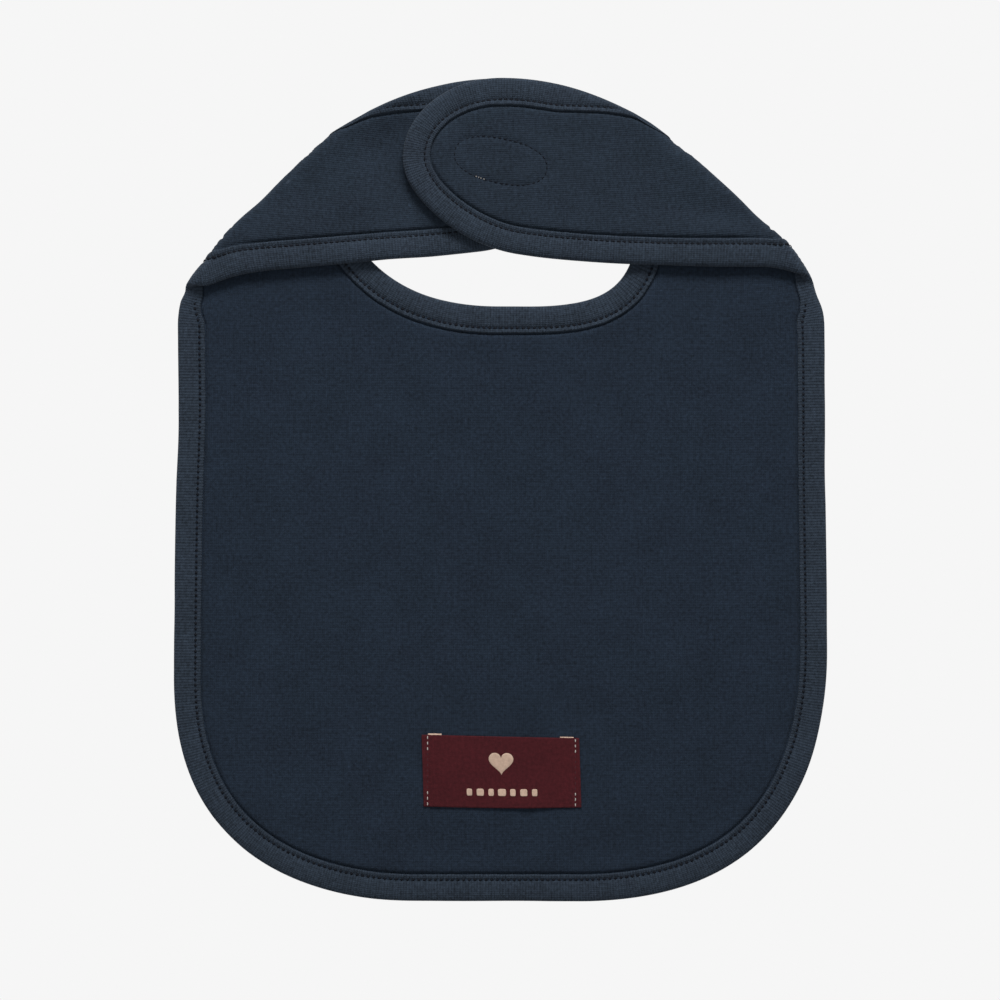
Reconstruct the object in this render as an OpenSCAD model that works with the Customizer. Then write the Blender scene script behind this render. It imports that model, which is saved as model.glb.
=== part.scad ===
// Padded baby bib with two folded neck straps, bound all round, lying flat.
// Millimetres. +X across, +Y towards the neck, +Z off the table, front face up.

/* [Body outline] */
// Widest width of the body
body_w = 240; // [180:1:280]
// Height from the bottom edge to the top of the folded straps
bib_h = 304; // [240:1:340]
// Height of the rounded bottom, from the lower edge to where the sides run straight
bottom_round_h = 96; // [60:1:120]
// Squareness of the bottom corners (2 is an ellipse)
bottom_power = 2.9; // [2:0.1:4]
// Width of the body at the shoulders
shoulder_w = 238; // [180:1:280]
// Radius of each shoulder corner
shoulder_r = 40; // [20:1:60]
// Height of the shoulder corner's centre above the middle of the bib
shoulder_y = 60; // [30:1:80]
// Angle that each shoulder corner turns through before it meets its fold
shoulder_turn = 25; // [10:5:40]

/* [Neck opening] */
// Half width of the neck opening
neck_rx = 63; // [45:1:75]
// Half height of the neck opening
neck_ry = 50.5; // [35:0.5:65]
// Squareness of the neck opening (2 is an ellipse)
neck_power = 2.2; // [2:0.1:3]
// Height of the neck opening's centre above the middle of the bib
neck_y = 118; // [100:1:130]

/* [Layers] */
// Thickness of the front and of the back jersey layer
ply_t = 0.7; // [0.4:0.1:1.2]
// Thickness of the absorbent middle layer
core_t = 1.0; // [0.5:0.1:2]
// Thickness of the binding tape on each face
tape_t = 0.5; // [0.3:0.1:0.8]
// Thickness of the binding tape round the edge
tape_edge = 0.6; // [0.3:0.1:1]
// Width of the binding seen on each face
tape_w = 10; // [8:0.5:14]

/* [Folded straps] */
// Lower end of the right fold's axis, from the middle of the bib
fold_low = [112, 78];
// Upper end of the right fold's axis
fold_high = [59.2, 128.7];
// Clearance between the body and what lies on it
rest_gap = 0.3; // [0.2:0.05:0.6]
// Height of the left strap's crest above the right strap's
left_lift = 1.3; // [0:0.1:3]
// Where the left strap starts to sink from its shoulder, along the slope direction
sink_start = -11.5; // [-20:0.5:0]
// Where the left strap reaches the table, along the slope direction
sink_end = 7.5; // [0:0.5:20]
// Direction of the slope, degrees from +X
sink_angle = 20.2; // [0:0.1:45]

/* [Stitching] */
// Width of a stitch line
stitch_w = 0.6; // [0.3:0.1:1]
// Depth that a stitch line sinks into the cloth
stitch_t = 0.3; // [0.1:0.05:0.5]
// Distance of the topstitch from the bound edge
stitch_in = 8.1; // [6:0.1:12]

/* [Fastening patches] */
// Length of each patch
patch_l = 38; // [25:1:45]
// Width of each patch
patch_d = 20.5; // [15:0.5:30]
// Turn of the patches, degrees
patch_turn = -12; // [-30:1:30]
// Centre of the patches
patch_at = [0.2, 120.8];
// Thickness of the loop patch
loop_t = 0.55; // [0.3:0.05:1]
// Thickness of the hook patch
hook_t = 0.4; // [0.3:0.05:1]

/* [Label] */
// Length of the woven label
label_l = 58; // [40:1:80]
// Height of the woven label
label_h = 26; // [15:1:40]
// Thickness of the woven label
label_t = 0.5; // [0.3:0.05:1]
// Centre of the label
label_at = [0.5, -104];
// Length of the end folded under at each side
label_tuck = 6; // [3:0.5:10]

/* [Hidden] */
panel_t = 2 * ply_t + core_t;
edge_t = panel_t + 2 * tape_t;
level2 = edge_t + rest_gap;
axis_z = edge_t + rest_gap / 2;
roll_r = axis_z - 0.1;
socket_r = roll_r + 0.25;
front_top = tape_t + panel_t;
fold_dir = (fold_high - fold_low) / norm(fold_high - fold_low);
fold_in = [-fold_dir[1], fold_dir[0]];
far = 400;
$fn = 48;

// Point of a superellipse in the direction a degrees.
function super(a, rx, ry, n) =
    let (c = cos(a), s = sin(a),
         r = pow(pow(abs(c) / rx, n) + pow(abs(s) / ry, n), -1 / n))
    [r * c, r * s];

// Point at t on a cubic curve.
function cubic(a, b, c, d, t) =
    let (u = 1 - t)
    u * u * u * a + 3 * u * u * t * b + 3 * u * t * t * c + t * t * t * d;

// Points of a cubic curve, without its last one.
function cubic_run(a, b, c, d, n) = [for (i = [0:n - 1]) cubic(a, b, c, d, i / n)];

// Closed counter-clockwise path moved inwards by d.
function inset(p, d) =
    let (n = len(p))
    [for (i = [0:n - 1])
        let (q = p[(i + 1) % n] - p[(i + n - 1) % n])
        p[i] + d * [-q[1], q[0]] / norm(q)];

function mirrored(p) = [for (i = [len(p) - 1:-1:0]) [-p[i][0], p[i][1]]];

function raised(p, dy) = [for (q = p) [q[0], q[1] + dy]];

// Whole body, running straight on past the fold lines at the shoulders.
function body_path() =
    let (sx = shoulder_w / 2 - shoulder_r,
         by = -bib_h / 2 + bottom_round_h,
         arc = [for (a = [0:5:shoulder_turn])
             [sx, shoulder_y] + shoulder_r * [cos(a), sin(a)]],
         past = arc[len(arc) - 1] + 140 * [-sin(shoulder_turn), cos(shoulder_turn)])
    concat(
        arc, [past, [-past[0], past[1]]], mirrored(arc),
        [for (a = [180:3.75:360]) super(a, body_w / 2, bottom_round_h, bottom_power) + [0, by]]);

function neck_path() =
    [for (a = [0:5:355]) super(a, neck_rx, neck_ry, neck_power) + [0, neck_y]];

// Right strap as it lies folded, running past the fold line.
function right_path() =
    let (low = [6.6, 86.6], tip = [-35.8, 122], crest = [0.7, bib_h / 2 - left_lift])
    reversed(concat(
        cubic_run([138, 72], [100, 84.5], [52, 80.5], low, 14),
        cubic_run(low, [-12, 89.2], [-35.8, 106], tip, 12),
        cubic_run(tip, [-35.8, 138.5], [-20, crest[1]], crest, 12),
        cubic_run(crest, [28, crest[1]], [54, 138], [92, 111], 14),
        [[92, 111], [130, 130], [160, 90]]));

function reversed(p) = [for (i = [len(p) - 1:-1:0]) p[i]];

function left_path() = raised(mirrored(right_path()), left_lift);

// Part of the plane on the body's side of the right fold's axis, d away from it.
module right_side(d) {
    a = fold_low + d * fold_in;
    polygon([a - far * fold_dir, a + far * fold_dir,
             a + far * fold_dir + far * fold_in, a - far * fold_dir + far * fold_in]);
}

module left_side(d) {
    mirror([1, 0]) right_side(d);
}

// Round cord along the right fold's axis, running on by extra at each end.
module right_cord(r, extra) {
    start = fold_low - extra * fold_dir;
    translate([start[0], start[1], axis_z])
        rotate([0, 90, atan2(fold_dir[1], fold_dir[0])])
        cylinder(r = r, h = norm(fold_high - fold_low) + 2 * extra);
}

module left_cord(r, extra) {
    mirror([1, 0, 0]) right_cord(r, extra);
}

// One layer of the body between two heights, cut back at both folds.
module body_layer(z0, z1) {
    difference() {
        translate([0, 0, z0]) linear_extrude(z1 - z0) intersection() {
            children();
            right_side(1.2);
            left_side(1.2);
            translate([-far, -far]) square([2 * far, far + fold_high[1]]);
        }
        right_cord(socket_r, 40);
        left_cord(socket_r, 40);
    }
}

// One layer of the right strap, z0 and z1 counted from the strap's underside.
module right_layer(z0, z1) {
    difference() {
        translate([0, 0, level2 + z0]) linear_extrude(z1 - z0) intersection() {
            children();
            right_side(0.5);
        }
        right_cord(roll_r, 40);
    }
}

// Height of the left strap's underside at s along the slope direction.
function sink(s) =
    let (t = min(1, max(0, (s - sink_start) / (sink_end - sink_start))))
    level2 * (1 - t * t * (3 - 2 * t));

// Sloping slab that the left strap's layers are cut from.
module sink_slab(z0, z1) {
    stations = concat([-far], [for (i = [0:10]) sink_start + i / 10 * (sink_end - sink_start)], [far]);
    rotate([90, 0, sink_angle]) linear_extrude(2 * far, center = true) polygon(concat(
        [for (s = stations) [s, sink(s) + z0]],
        [for (s = reversed(stations)) [s, sink(s) + z1]]));
}

// One layer of the left strap, z0 and z1 counted from the strap's underside.
module left_layer(z0, z1) {
    difference() {
        intersection() {
            linear_extrude(3 * edge_t) intersection() {
                children();
                left_side(0.5);
            }
            sink_slab(z0, z1);
        }
        left_cord(roll_r, 40);
    }
}

// Band along a closed path, from d0 to d1 inside it.
module band(path, d0, d1) {
    difference() {
        polygon(inset(path, d0));
        polygon(inset(path, d1));
    }
}

module stitch_band(path) {
    band(path, stitch_in - stitch_w / 2, stitch_in + stitch_w / 2);
}

// Cloth area of the body inside its binding.
module body_cloth() {
    difference() {
        polygon(inset(body_path(), tape_edge));
        polygon(inset(neck_path(), -tape_edge));
    }
}

// Band round the neck opening, from d0 to d1 outside it.
module neck_band(d0, d1) {
    intersection() {
        polygon(body_path());
        difference() {
            polygon(inset(neck_path(), -d1));
            polygon(inset(neck_path(), -d0));
        }
    }
}

module patch_shape(grow) {
    translate(patch_at) rotate(patch_turn)
        polygon([for (a = [0:7.5:352.5]) super(a, patch_l / 2 + grow, patch_d / 2 + grow, 2.4)]);
}

module patch_ring() {
    difference() {
        patch_shape(-1.4);
        patch_shape(-1.4 - stitch_w);
    }
}

// Two level cuts that hold a stitch line on both faces of a bound edge.
module both_faces() {
    children(0);
    children(1);
}

module front_panel() {
    color([0.13, 0.16, 0.21]) body_layer(tape_t + ply_t + core_t, front_top) body_cloth();
}

module absorbent_layer() {
    color([0.86, 0.86, 0.83]) body_layer(tape_t + ply_t, tape_t + ply_t + core_t) body_cloth();
}

module back_panel() {
    color([0.12, 0.15, 0.2]) body_layer(tape_t, tape_t + ply_t) body_cloth();
}

// Tape folded round an edge: the full height less the cloth it holds and its stitch grooves.
module edge_binding() {
    color([0.18, 0.21, 0.26]) difference() {
        body_layer(0, edge_t) band(body_path(), 0, tape_w);
        body_layer(tape_t, front_top) body_cloth();
        edge_topstitch();
    }
}

module neck_binding() {
    color([0.18, 0.21, 0.26]) difference() {
        body_layer(0, edge_t) neck_band(0, tape_w);
        body_layer(tape_t, front_top) body_cloth();
        neck_topstitch();
    }
}

module edge_topstitch() {
    color([0.06, 0.08, 0.13]) both_faces() {
        body_layer(0, stitch_t) stitch_band(body_path());
        body_layer(edge_t - stitch_t, edge_t) stitch_band(body_path());
    }
}

module neck_topstitch() {
    color([0.06, 0.08, 0.13]) both_faces() {
        body_layer(0, stitch_t) neck_band(stitch_in - stitch_w / 2, stitch_in + stitch_w / 2);
        body_layer(edge_t - stitch_t, edge_t)
            neck_band(stitch_in - stitch_w / 2, stitch_in + stitch_w / 2);
    }
}

module label_place() {
    translate([label_at[0], label_at[1], front_top]) rotate(-0.8) children();
}

module label_ends() {
    color([0.74, 0.64, 0.56]) label_place() for (side = [-1, 1])
        translate([side * (label_l / 2 - label_tuck / 2), 0.4, label_t / 4])
            cube([label_tuck, label_h, label_t / 2], center = true);
}

module label() {
    color([0.28, 0.11, 0.13]) label_place() translate([0, 0, label_t])
        cube([label_l, label_h, label_t], center = true);
}

// Woven heart over a row of short bars.
module label_motif() {
    color([0.74, 0.64, 0.56]) label_place() translate([0, 0, 1.5 * label_t]) linear_extrude(0.1) {
        translate([0, 3]) heart(9);
        for (i = [-3:3]) translate([i * 4.2, -7.5]) square([2.6, 1.5], center = true);
    }
}

// Heart w wide, as two round lobes over a point.
module heart(w) {
    r = w / 4 + 0.1;
    for (side = [-1, 1]) translate([side * (w / 2 - r), r / 2]) circle(r);
    polygon([[-w / 2 + 0.45, -r / 2], [0, -w / 2 - 0.6], [w / 2 - 0.45, -r / 2], [0, r]]);
}

module label_stitching() {
    color([0.5, 0.38, 0.35]) label_place() for (side = [-1, 1])
        translate([side * (label_l / 2 - 2.4), 0, 1.5 * label_t + 0.1])
            cube([stitch_w, label_h - 1.6, 0.2], center = true);
}

module right_strap_cloth() {
    polygon(inset(right_path(), tape_edge));
}

module left_strap_cloth() {
    polygon(inset(left_path(), tape_edge));
}

// A folded strap shows its back layer on top, so its front layer is the lower one.
module right_strap_front() {
    color([0.13, 0.16, 0.21]) right_layer(tape_t, tape_t + ply_t) right_strap_cloth();
}

module right_strap_middle() {
    color([0.86, 0.86, 0.83]) right_layer(tape_t + ply_t, tape_t + ply_t + core_t)
        right_strap_cloth();
}

module right_strap_back() {
    color([0.16, 0.2, 0.24]) difference() {
        right_layer(tape_t + ply_t + core_t, front_top) right_strap_cloth();
        hook_patch_stitching();
    }
}

module right_strap_binding() {
    color([0.19, 0.22, 0.27]) difference() {
        right_layer(0, edge_t) band(right_path(), 0, tape_w);
        right_layer(tape_t, front_top) right_strap_cloth();
        right_strap_topstitch();
    }
}

module right_strap_topstitch() {
    color([0.06, 0.08, 0.13]) both_faces() {
        right_layer(0, stitch_t) stitch_band(right_path());
        right_layer(edge_t - stitch_t, edge_t) stitch_band(right_path());
    }
}

module hook_patch() {
    color([0.1, 0.12, 0.17]) right_layer(tape_t - hook_t, tape_t) patch_shape(0);
}

module hook_patch_stitching() {
    color([0.06, 0.08, 0.13]) right_layer(front_top - stitch_t, front_top) patch_ring();
}

module right_fold() {
    color([0.15, 0.18, 0.23]) right_cord(roll_r, 0);
}

module left_strap_front() {
    color([0.13, 0.16, 0.21]) left_layer(tape_t, tape_t + ply_t) left_strap_cloth();
}

module left_strap_middle() {
    color([0.86, 0.86, 0.83]) left_layer(tape_t + ply_t, tape_t + ply_t + core_t)
        left_strap_cloth();
}

module left_strap_back() {
    color([0.14, 0.18, 0.22]) left_layer(tape_t + ply_t + core_t, front_top) left_strap_cloth();
}

module left_strap_binding() {
    color([0.18, 0.21, 0.26]) difference() {
        left_layer(0, edge_t) band(left_path(), 0, tape_w);
        left_layer(tape_t, front_top) left_strap_cloth();
        left_strap_topstitch();
    }
}

module left_strap_topstitch() {
    color([0.06, 0.08, 0.13]) both_faces() {
        left_layer(0, stitch_t) stitch_band(left_path());
        left_layer(edge_t - stitch_t, edge_t) stitch_band(left_path());
    }
}

module loop_patch() {
    color([0.12, 0.14, 0.19]) difference() {
        left_layer(front_top, front_top + loop_t) patch_shape(0);
        loop_patch_stitching();
    }
}

module loop_patch_stitching() {
    color([0.06, 0.08, 0.13]) left_layer(front_top + loop_t - stitch_t, front_top + loop_t)
        patch_ring();
}

module left_fold() {
    color([0.15, 0.18, 0.23]) left_cord(roll_r, 0);
}

front_panel();
absorbent_layer();
back_panel();
edge_binding();
neck_binding();
edge_topstitch();
neck_topstitch();
label_ends();
label();
label_motif();
label_stitching();
right_strap_front();
right_strap_middle();
right_strap_back();
right_strap_binding();
right_strap_topstitch();
hook_patch();
hook_patch_stitching();
right_fold();
left_strap_front();
left_strap_middle();
left_strap_back();
left_strap_binding();
left_strap_topstitch();
loop_patch();
loop_patch_stitching();
left_fold();
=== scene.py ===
"""Looks of the folded baby bib: cloth, binding, stitches, patches, label, light and camera.

The bib is built flat, as it is cut and sewn, and then both straps are rolled over their folds.
Lengths are millimetres in here and become metres when a mesh is made.
"""

import math

import bpy
import bmesh
import numpy as np
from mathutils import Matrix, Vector
from mathutils.geometry import delaunay_2d_cdt


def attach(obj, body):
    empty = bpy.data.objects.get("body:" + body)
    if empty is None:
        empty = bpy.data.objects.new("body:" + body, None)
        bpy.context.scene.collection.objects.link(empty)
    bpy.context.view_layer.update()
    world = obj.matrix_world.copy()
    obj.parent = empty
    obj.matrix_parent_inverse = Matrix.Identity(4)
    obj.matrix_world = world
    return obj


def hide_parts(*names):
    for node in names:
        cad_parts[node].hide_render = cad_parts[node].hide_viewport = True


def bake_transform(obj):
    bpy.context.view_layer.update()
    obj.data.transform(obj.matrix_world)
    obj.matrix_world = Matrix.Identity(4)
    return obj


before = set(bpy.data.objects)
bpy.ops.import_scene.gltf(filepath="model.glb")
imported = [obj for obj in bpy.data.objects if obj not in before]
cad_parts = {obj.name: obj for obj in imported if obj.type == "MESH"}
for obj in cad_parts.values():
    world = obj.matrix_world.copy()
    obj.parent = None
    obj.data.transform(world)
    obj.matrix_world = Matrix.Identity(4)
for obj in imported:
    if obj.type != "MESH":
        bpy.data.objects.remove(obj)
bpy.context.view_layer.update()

MM = 0.001
HALF = 1.7  # half thickness of a bound edge
PANEL = 1.2  # half thickness of the padded cloth
ROLL = 1.85  # radius of the cloth's middle surface in a fold
AXIS_Z = 3.55  # height of the fold's axis over the table
TURN = math.pi * ROLL  # length of cloth rolled up in a fold
FOLD_OUT = 3.3  # how far a fold's outer face stands out from its axis
RISE = 3.7  # height of a strap that lies on the body
TAPE = 10.0  # visible width of the binding
STITCH_IN = 8.1  # distance of the topstitch from the edge
PITCH = 2.07  # length of one stitch and its gap
RIBS = 1.05  # spacing of the binding's ribs
SEWN = 1.17  # height of the topstitch over the middle of the cloth
LAYER = 0.6  # thickness of one jersey layer

BOTTOM = -152.0  # lowest point of the body
SIDE = 120.4  # half of the body's widest width
NECK_Y = 114.0  # middle of the neckline's oval

# The right fold line starts at FOLD, by the shoulder, and runs ALONG; INTO points to the body.
# Everything on the left is described mirrored to the right.
FOLD = np.array([112.0, 78.0])
ALONG = np.array([-0.721305, 0.692617])
INTO = np.array([-0.692617, -0.721305])


def smooth(t):
    t = np.clip(t, 0, 1)
    return t * t * (3 - 2 * t)


def cubic(a, b, c, d, n=60):
    t = np.linspace(0, 1, n)[:, None]
    a, b, c, d = (np.array(p, float) for p in (a, b, c, d))
    u = 1 - t
    return u**3 * a + 3 * u * u * t * b + 3 * u * t * t * c + t**3 * d


def turned(points, angle):
    """Flat points or directions, turned to the left by an angle."""
    c, s = math.cos(angle), math.sin(angle)
    return points @ np.array([[c, s], [-s, c]])


def superellipse(angles, rx, ry, power):
    c, s = np.cos(angles), np.sin(angles)
    r = (np.abs(c / rx) ** power + np.abs(s / ry) ** power) ** (-1 / power)
    return np.stack([r * c, r * s], 1)


def spaced(points, step):
    """The same line with points about step apart, evenly spaced."""
    length = np.concatenate([[0], np.cumsum(np.linalg.norm(np.diff(points, axis=0), axis=1))])
    n = max(2, int(round(length[-1] / step)) + 1)
    at = np.linspace(0, length[-1], n)
    return np.stack([np.interp(at, length, points[:, i]) for i in (0, 1)], 1)


def fold_coords(xy):
    """(distance along the right fold, distance inwards from it)."""
    q = xy - FOLD
    return q @ ALONG, q @ INTO


def waves(xy, seed, scale, count=7):
    """Soft random height from a few crossing waves, between about -1 and 1."""
    r = np.random.default_rng(seed)
    total = np.zeros(len(xy))
    for _ in range(count):
        a, k = r.uniform(0, math.tau), math.tau / (scale * r.uniform(0.6, 1.6))
        total += np.sin(k * (xy @ [math.cos(a), math.sin(a)]) + r.uniform(0, math.tau))
    return total / math.sqrt(count * 2)


# ---------------------------------------------------------------- outline of the flat bib

def body_half(side):
    """One side of the body, mirrored to the right, from the lower edge up to the shoulder."""
    if side > 0:
        corner = cubic([29, BOTTOM], [75, BOTTOM], [SIDE, -133.5], [SIDE, -58])
    else:
        corner = cubic([31, BOTTOM], [60.5, BOTTOM], [SIDE, -142], [SIDE, -71])
    straight = cubic([SIDE, corner[-1, 1]], [120.3, -25], [119.2, 15], [119, 60], 40)
    arc = np.radians(np.linspace(0, 16, 14))
    shoulder = np.stack([79 + 40 * np.cos(arc), 60 + 40 * np.sin(arc)], 1)
    return np.vstack([[[0, BOTTOM]], corner, straight[1:], shoulder[1:]])


def neck_half(side):
    """The visible part of the neckline, mirrored to the right, down to its lowest point."""
    rx, power = (50.8, 3.8) if side > 0 else (58.5, 2.2)
    return superellipse(np.radians(np.linspace(-25, -90, 120)), rx, 46.4, power) + [0, NECK_Y]


def strap_outline(side):
    """Strap as it lies folded, from its lower edge round the end to its upper edge."""
    if side > 0:
        lower = cubic([138, 74], [100, 85.5], [52, 79.5], [6.6, 86.4])
    else:
        lower = cubic([135, 67.3], [104, 82.3], [58, 81.8], [6.6, 87.9])
    lower = lower[fold_coords(lower)[1] > 4.0]
    lift = 0.0 if side > 0 else 0.3
    start = lower[-1] - [0, lift]
    end = np.vstack([
        cubic(start, start + [-18.6, 2.6], [-35.8, 106], [-35.8, 122])[1:-1],
        cubic([-35.8, 122], [-35.8, 138.5], [-20, 151.4], [0.7, 151.4])[:-1],
        cubic([0.7, 151.4], [25, 151.4], [43, 142.2], [58.5, 133.3]),
    ])
    return np.vstack([lower, end + [0, lift]])


def unfolded(xy):
    """Where a point of a folded strap lies in the flat bib."""
    along, inwards = fold_coords(xy)
    rolled = TURN * (1 - np.arcsin(np.clip(-inwards / FOLD_OUT, 0, 1)) / math.pi)
    w = np.where(inwards > 0, TURN + inwards, rolled)
    return FOLD + np.outer(along, ALONG) - np.outer(w, INTO)


def link(a0, a1, b0, b1, n=40):
    """Smooth line from a1 on to b0, leaving as a0 to a1 runs and arriving as b0 to b1 runs."""
    gap = np.linalg.norm(b0 - a1)
    ta, tb = (a1 - a0) / np.linalg.norm(a1 - a0), (b1 - b0) / np.linalg.norm(b1 - b0)
    return cubic(a1, a1 + ta * gap * 0.36, b0 - tb * gap * 0.36, b0, n)[1:-1]


def half_outline(side):
    """One half of the flat outline, from the lower edge round the strap to the neckline."""
    body, neck, strap = body_half(side), neck_half(side), unfolded(strap_outline(side))
    return np.vstack([
        body, link(body[-2], body[-1], strap[0], strap[1]), strap,
        link(strap[-2], strap[-1], neck[0], neck[1]), neck,
    ])


right = half_outline(1)
left = half_outline(-1)[::-1] * [-1, 1]
OUTLINE = spaced(np.vstack([right, left[1:]]), PITCH / 6)[:-1]


def normals_of(line, spread=6):
    """Inward unit normal at every point of a closed counter-clockwise line."""
    t = np.roll(line, -spread, axis=0) - np.roll(line, spread, axis=0)
    for _ in range(3):
        t = t + np.roll(t, 5, axis=0) + np.roll(t, -5, axis=0)
    t = t / np.linalg.norm(t, axis=1)[:, None]
    return np.stack([-t[:, 1], t[:, 0]], 1)


INWARD = normals_of(OUTLINE)


def nearest(xy):
    """Distance of flat points from the bib's edge, and the outline point each is nearest to."""
    coarse = OUTLINE[::2]
    out, index = np.empty(len(xy)), np.empty(len(xy), int)
    for i in range(0, len(xy), 2000):
        gap = ((xy[i:i + 2000, None, :] - coarse[None]) ** 2).sum(2)
        index[i:i + 2000] = gap.argmin(1) * 2
        out[i:i + 2000] = np.sqrt(gap.min(1))
    return out, index


def edge_slide():
    """How far the tape has rolled over the edge towards the strap's underside, near each fold."""
    total = np.zeros(len(OUTLINE))
    for side, start, reach in ((1, 18, 42), (-1, 12, 52)):
        along, inwards = fold_coords(OUTLINE * [side, 1])
        lying = FOLD + np.outer(along, ALONG) - np.outer(inwards + TURN, INTO)
        upper = (lying[:, 1] > 100) & (OUTLINE[:, 0] * side > 0)
        total += TAPE * smooth((lying[:, 0] - start) / reach) * smooth((12 - inwards) / 15) * upper
    return total


def front_slide():
    """How far the tape has rolled outwards on the body's front, at each fold's shoulder end."""
    total = np.zeros(len(OUTLINE))
    for side, most, start in ((1, 3.5, 7.5), (-1, 4.0, 8.0)):
        along, inwards = fold_coords(OUTLINE * [side, 1])
        near = smooth((start - inwards) / (start + 0.5)) * smooth((TURN + 14 + inwards) / 14)
        total += most * near * ((along < 30) & (OUTLINE[:, 0] * side > 0))
    return total


SLIDE = edge_slide()
FRONT_SLIDE = front_slide()


def crown(s):
    """Height of the rounded bound edge at a distance s from it."""
    return 1.72 * (1 - np.clip(1 - s / 2.8, 0, 1) ** 2.3) ** (1 / 2.1)


def slid(s, slide):
    """Distance from the edge on the strap's outer face after the tape has rolled over by slide."""
    return np.maximum(s - slide * (1 - smooth((s - 11) / 18)), 0.12 * s)


def rolled_out(xy, depth, edge, slide):
    """Flat points shifted towards the edge, as the tape there has rolled over by slide."""
    return xy - INWARD[edge] * (depth - slid(depth, slide[edge]))[:, None]


# ---------------------------------------------------------------- folding

def beyond(xy, side):
    """How far flat points lie beyond one side's fold."""
    return -fold_coords(xy * [side, 1])[1]


def side_of(xy):
    """1 or -1 for flat points beyond the right or left fold, 0 for points on the body."""
    return np.where((beyond(xy, 1) > 0) & (xy[:, 0] > 0), 1,
                    np.where((beyond(xy, -1) > 0) & (xy[:, 0] < 0), -1, 0))


def bow(along, side):
    """How far the fold's middle line stands out from a straight one."""
    if side > 0:
        out = -1.1 + 3.0 * smooth((along + 2) / 17) - 0.35 * smooth((along - 16) / 14)
        out -= 1.1 * smooth((along - 30) / 50) + 1.1 * np.exp(-(((along - 70) / 6.5) ** 2))
    else:
        out = -2.2 + 3.7 * smooth((along + 4) / 25) - 0.9 * smooth((along - 60) / 16)
    return out * smooth((90 - along) / 12) * smooth((along + (15 if side > 0 else 11)) / 9)


def sink(xy, inwards):
    """How far the left strap has sunk from its shoulder towards the table."""
    s = xy @ [-0.939, 0.345]
    return RISE * smooth((s + 11.5) / 19) * smooth(inwards / 12)


def warped(xyz):
    """The real outline's unevenness: bowed folds, a waist and a slightly wider right side."""
    out = xyz.copy()
    for side in (1, -1):
        m = out[:, :2] * [side, 1]
        along, inwards = fold_coords(m)
        near = np.exp(-((inwards / 15) ** 2)) * smooth((m[:, 0] - 8) / 30)
        m = m - np.outer(bow(along, side) * near, INTO)
        out[:, :2] = m * [side, 1]
    waist = np.exp(-(((out[:, 1] - 28) / 22) ** 2)) * (out[:, 0] < 0)
    wide = (0.0035 + 0.0035 * np.exp(-(((out[:, 1] - 45) / 28) ** 2))) * (out[:, 0] > 0)
    out[:, 0] *= 1 - 0.005 * waist + wide
    return out


def place(xyh, side=0):
    """Flat points, with their height h on the front side, in their place on the folded bib."""
    xy, h = xyh[:, :2], xyh[:, 2]
    if side == 0:
        return warped(np.column_stack([xy, HALF + h]))
    m = xy * [side, 1]
    along, inwards = fold_coords(m)
    w = np.maximum(-inwards, 0)
    angle = np.clip(w / ROLL, 0, math.pi)
    r = ROLL - h
    past = np.maximum(w - TURN, 0)
    out = np.where(w < TURN, -r * np.sin(angle), past)
    z = np.where(w < TURN, AXIS_Z - r * np.cos(angle), AXIS_Z + ROLL - h)
    flat = FOLD + np.outer(along, ALONG) + np.outer(out, INTO)
    if side < 0:
        z = z - sink(flat, past)
    return warped(np.column_stack([flat * [side, 1], z]))


# ---------------------------------------------------------------- meshes

def mesh_of(name, xyz, faces, uv, material):
    """A mesh in metres. uv is each vertex's place in the flat bib, in metres."""
    me = bpy.data.meshes.new(name)
    me.from_pydata((np.asarray(xyz) * MM).tolist(), [], faces)
    layer = me.uv_layers.new(name="UVMap")
    loops = np.empty(len(me.loops), np.int32)
    me.loops.foreach_get("vertex_index", loops)
    layer.data.foreach_set("uv", (np.asarray(uv)[loops] * MM).astype(np.float32).ravel())
    me.materials.append(material)
    me.validate()
    me.shade_smooth()
    obj = bpy.data.objects.new(name, me)
    bpy.context.collection.objects.link(obj)
    return obj


def cut(xyh, faces, uv=None):
    """Cuts a flat mesh at both folds: {side: (points, faces, uv)}."""
    uv = xyh[:, :2] if uv is None else uv
    bm = bmesh.new()
    u_layer, v_layer = (bm.verts.layers.float.new(name) for name in "uv")
    for p, (u, v) in zip(xyh, uv):
        vert = bm.verts.new(p)
        vert[u_layer], vert[v_layer] = u, v
    bm.verts.ensure_lookup_table()
    for f in faces:
        try:
            bm.faces.new([bm.verts[i] for i in f])
        except ValueError:
            pass
    for side in (1, -1):
        bmesh.ops.bisect_plane(
            bm, geom=bm.verts[:] + bm.edges[:] + bm.faces[:], dist=1e-5,
            plane_co=(side * FOLD[0], FOLD[1], 0), plane_no=(side * INTO[0], INTO[1], 0))
    points = np.array([v.co for v in bm.verts])
    uv = np.array([(v[u_layer], v[v_layer]) for v in bm.verts])
    out = {}
    bm.verts.index_update()
    polys = [[v.index for v in f.verts] for f in bm.faces]
    which = side_of(np.array([points[p].mean(0)[:2] for p in polys]))
    for side in (0, 1, -1):
        out[side] = subset(points, [p for p, k in zip(polys, which) if k == side], uv, True)
    bm.free()
    return out


def subset(points, faces, uv, close=False):
    """A mesh of some faces only, its holes closed if wanted."""
    used = sorted({i for p in faces for i in p})
    new = {i: n for n, i in enumerate(used)}
    part = [[new[i] for i in p] for p in faces]
    return points[used], part + (caps(points[used], part) if close else []), uv[used]


def rim_edges(faces):
    """Edges used by one face only, in that face's direction."""
    seen = {(a, b) for f in faces for a, b in zip(f, f[1:] + f[:1])}
    return [(a, b) for a, b in seen if (b, a) not in seen]


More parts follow.
